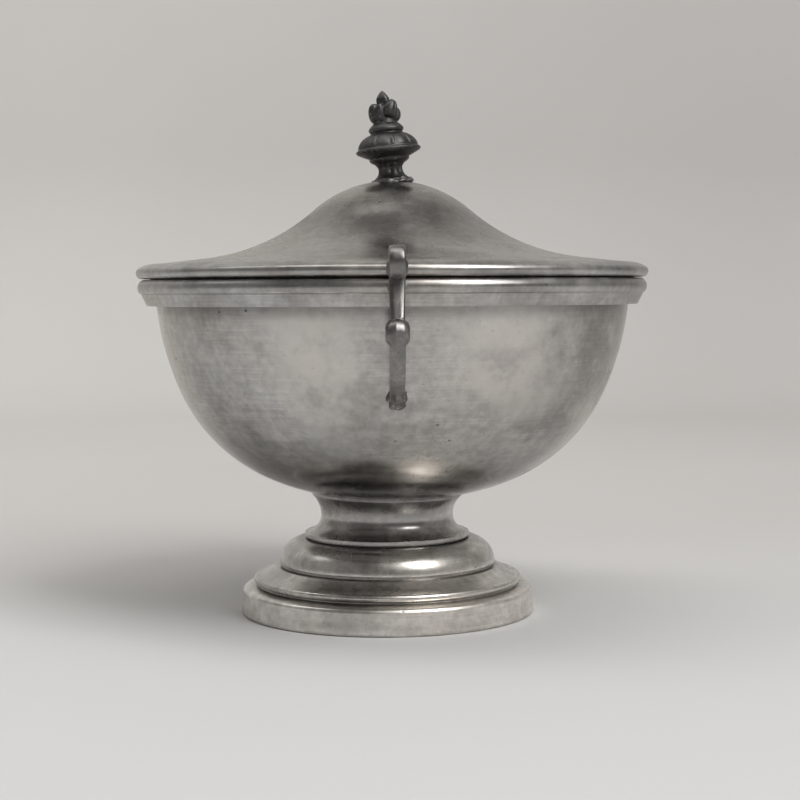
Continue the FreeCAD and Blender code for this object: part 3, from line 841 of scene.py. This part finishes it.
def make_fasteners():
    """The stud, washer and nut that hold the finial, inside the crown."""
    low, high = STUD_ENDS
    steps = 140
    stud = [Vector((0, low)), Vector((1.1, low)), Vector((1.3, low + 0.15))]
    stud += [Vector((STUD_RADIUS, between(low + 0.4, high, k / steps))) for k in range(steps + 1)]
    stud += [Vector((0, high))]
    small_part("finial_threaded_stud", spin(stud, False, 48, threaded), "finial_stud")
    top, bottom = WASHER_BOTTOM, WASHER_BOTTOM - NUT_HEIGHT
    corner_radius = NUT_HALF_FLATS / cos(pi / 6)
    nut = [Vector(p) for p in (
        (STUD_RADIUS, bottom), (NUT_HALF_FLATS, bottom), (corner_radius, bottom + 0.35),
        (corner_radius, top - 0.35), (NUT_HALF_FLATS, top), (STUD_RADIUS, top),
    )]
    small_part("finial_hexagon_nut", spin(nut, True, 144, hexagonal), "finial_nut")
    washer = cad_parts["finial_washer"]
    for slot in washer.material_slots:
        slot.material = STEEL


# ---------- stage, lights and camera ----------

WALL_START = 0.72
WALL_CURVE = 0.2
STAGE_HALF = 2.5
FLOOR_FRONT = -1.5
WALL_TOP = 2.0
FLOOR_COLOUR = (0.8, 0.8, 0.805)
WALL_COLOUR = (0.65, 0.64, 0.624)
FLOOR_FADE = (-0.2, 0.2)  # along Y, where the floor's tone turns into the wall's, which also paints the floor behind the bowl darker as painted shade
SIDE_FADE = (-0.35, 0.35)  # along X, where painted shade makes the stage a little darker towards the right
RIGHT_SHADE_TONE = 0.86


def stage_material():
    n = Nodes("pale_backdrop")
    split = n.add("ShaderNodeSeparateXYZ")
    n.join(n.place, split.inputs[0])
    colour = n.mix(n.ramp(split.outputs[1], *FLOOR_FADE), (*FLOOR_COLOUR, 1), (*WALL_COLOUR, 1))
    # Painted shade: the stage grows a little darker towards the right.
    side_shade = n.ramp(split.outputs[0], *SIDE_FADE, 1.0, RIGHT_SHADE_TONE)
    cloudy = n.math("MULTIPLY", side_shade, n.ramp(n.noise(3.0, 2.0), 0.3, 0.7, 0.97, 1.0))
    n.join(n.mix(1.0, colour, cloudy, "MULTIPLY"), n.shader.inputs["Base Color"])
    n.shader.inputs["Roughness"].default_value = 0.9
    n.shader.inputs["Specular IOR Level"].default_value = 0.1
    return n.material


def make_stage():
    """A pale floor that sweeps up into a pale wall behind the bowl."""
    outline = [(FLOOR_FRONT, 0.0), (WALL_START, 0.0)]
    for k in range(1, 17):
        angle = pi / 2 * k / 16
        outline.append((WALL_START + WALL_CURVE * sin(angle), WALL_CURVE * (1 - cos(angle))))
    outline.append((WALL_START + WALL_CURVE, WALL_TOP))
    mesh = bmesh.new()
    rows = [[mesh.verts.new((side * STAGE_HALF, y, z)) for side in (-1, 1)] for y, z in outline]
    for low, high in zip(rows, rows[1:]):
        mesh.faces.new((low[0], low[1], high[1], high[0]))
    stage = make_object("stage", mesh)
    stage.data.materials.append(stage_material())


def softbox(name, azimuth, elevation, distance, size, power, colour):
    """An area light that faces the bowl. Azimuth 0 is the camera's side, and 90 is +X."""
    light = bpy.data.lights.new(name, "AREA")
    light.shape = "RECTANGLE"
    light.size, light.size_y = size
    light.energy = power
    light.color = colour
    lamp = bpy.data.objects.new(name, light)
    a, e = radians(azimuth), radians(elevation)
    away = Vector((sin(a) * cos(e), -cos(a) * cos(e), sin(e)))
    lamp.location = Vector((0, 0, 0.07)) + away * distance
    lamp.rotation_mode = "QUATERNION"
    lamp.rotation_quaternion = away.to_track_quat("Z", "Y")
    bpy.context.scene.collection.objects.link(lamp)
    return lamp


ROOM_BEHIND = (0.27, 0.264, 0.255, 1)
ROOM_IN_FRONT = (0.16, 0.156, 0.15, 1)
ROOM_SEEN = (0.5, 0.49, 0.47, 1)
WASH_PLACE = Vector((-0.6, 0.1, 1.5))
WASH_AIM = Vector((-0.4, 0.92, 0.35))


def make_world():
    """A room that is dim in front of the bowl. Where it is seen directly it is as pale as the wall."""
    world = bpy.data.worlds.new("studio")
    world.use_nodes = True
    tree = world.node_tree
    facing = tree.nodes.new("ShaderNodeSeparateXYZ")
    tree.links.new(tree.nodes.new("ShaderNodeTexCoord").outputs["Generated"], facing.inputs[0])
    front = tree.nodes.new("ShaderNodeMapRange")
    front.interpolation_type = "SMOOTHSTEP"
    for socket, value in (("From Min", 0.1), ("From Max", -0.7), ("To Min", 0.0), ("To Max", 1.0)):
        front.inputs[socket].default_value = value
    tree.links.new(facing.outputs[1], front.inputs["Value"])
    room = tree.nodes.new("ShaderNodeMix")
    room.data_type = "RGBA"
    room.inputs[6].default_value = ROOM_BEHIND
    room.inputs[7].default_value = ROOM_IN_FRONT
    tree.links.new(front.outputs[0], room.inputs[0])
    seen = tree.nodes.new("ShaderNodeMix")
    seen.data_type = "RGBA"
    seen.inputs[7].default_value = ROOM_SEEN
    tree.links.new(tree.nodes.new("ShaderNodeLightPath").outputs["Is Camera Ray"], seen.inputs[0])
    tree.links.new(room.outputs[2], seen.inputs[6])
    tree.links.new(seen.outputs[2], tree.nodes["Background"].inputs[0])
    bpy.context.scene.world = world


def make_lights():
    make_world()
    softbox("window", 42, 46, 1.6, (0.64, 1.14), 14.5, (1.0, 0.995, 0.985))
    softbox("glow", 28, 44, 1.7, (1.6, 1.1), 1.8, (1.0, 0.995, 0.99))
    wash = softbox("wall_wash", 0, 60, 1.5, (3.0, 0.6), 10.0, (1.0, 0.988, 0.97))
    wash.data.spread = radians(130)
    wash.location = WASH_PLACE
    wash.rotation_quaternion = (WASH_PLACE - WASH_AIM).to_track_quat("Z", "Y")


EYE_BEARING = radians(-0.89)
EYE_DISTANCE = 0.4685
EYE_HEIGHT = 0.0884
EYE_TURN = (radians(-0.89 - 0.24), radians(86.3), radians(-0.3))  # yaw, pitch and roll


def make_camera():
    """The eye stands in front, a little above the rim, nearly in line with the handles."""
    camera = bpy.data.cameras.new("camera")
    camera.sensor_width = 36.0
    camera.lens = 76.5
    eye = bpy.data.objects.new("camera", camera)
    eye.location = (EYE_DISTANCE * sin(EYE_BEARING), -EYE_DISTANCE * cos(EYE_BEARING), EYE_HEIGHT)
    yaw, pitch, roll = EYE_TURN
    turn = Matrix.Rotation(yaw, 4, "Z") @ Matrix.Rotation(pitch, 4, "X") @ Matrix.Rotation(roll, 4, "Z")
    eye.rotation_euler = turn.to_euler()
    bpy.context.scene.collection.objects.link(eye)
    bpy.context.scene.camera = eye


make_spun_pieces()
make_handles()
make_finial()
make_fasteners()
make_stage()
make_lights()
make_camera()
bpy.context.scene.view_settings.view_transform = "Standard"
